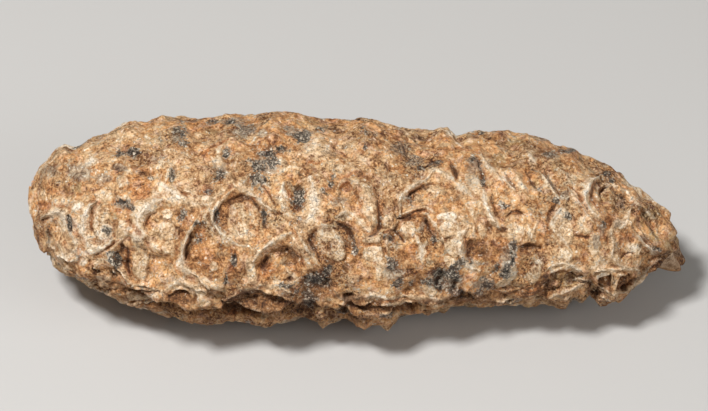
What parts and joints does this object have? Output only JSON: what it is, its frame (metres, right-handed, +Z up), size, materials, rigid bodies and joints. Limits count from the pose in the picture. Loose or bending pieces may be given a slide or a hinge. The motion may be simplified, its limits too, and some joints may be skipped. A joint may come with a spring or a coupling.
{
  "type": "fossil pine cone",
  "caption": "Petrified pine cone lying on its side, a long blunt stone with fused scales: raised rims, sunken hollows and a broken narrow end.",
  "frame": {"origin": "on the ground, under the middle of the cone's box", "axes": "+X along the cone from the broad rounded end to the narrow broken end, +Z up"},
  "size_m": [0.0802, 0.0286, 0.0231],
  "materials": {
    "petrified_cone": "rough, gritty, with pale rims and dark crystal patches"
  },
  "bodies": {
    "root": {"fossil_pine_cone": "petrified_cone"}
  },
  "joints": []
}
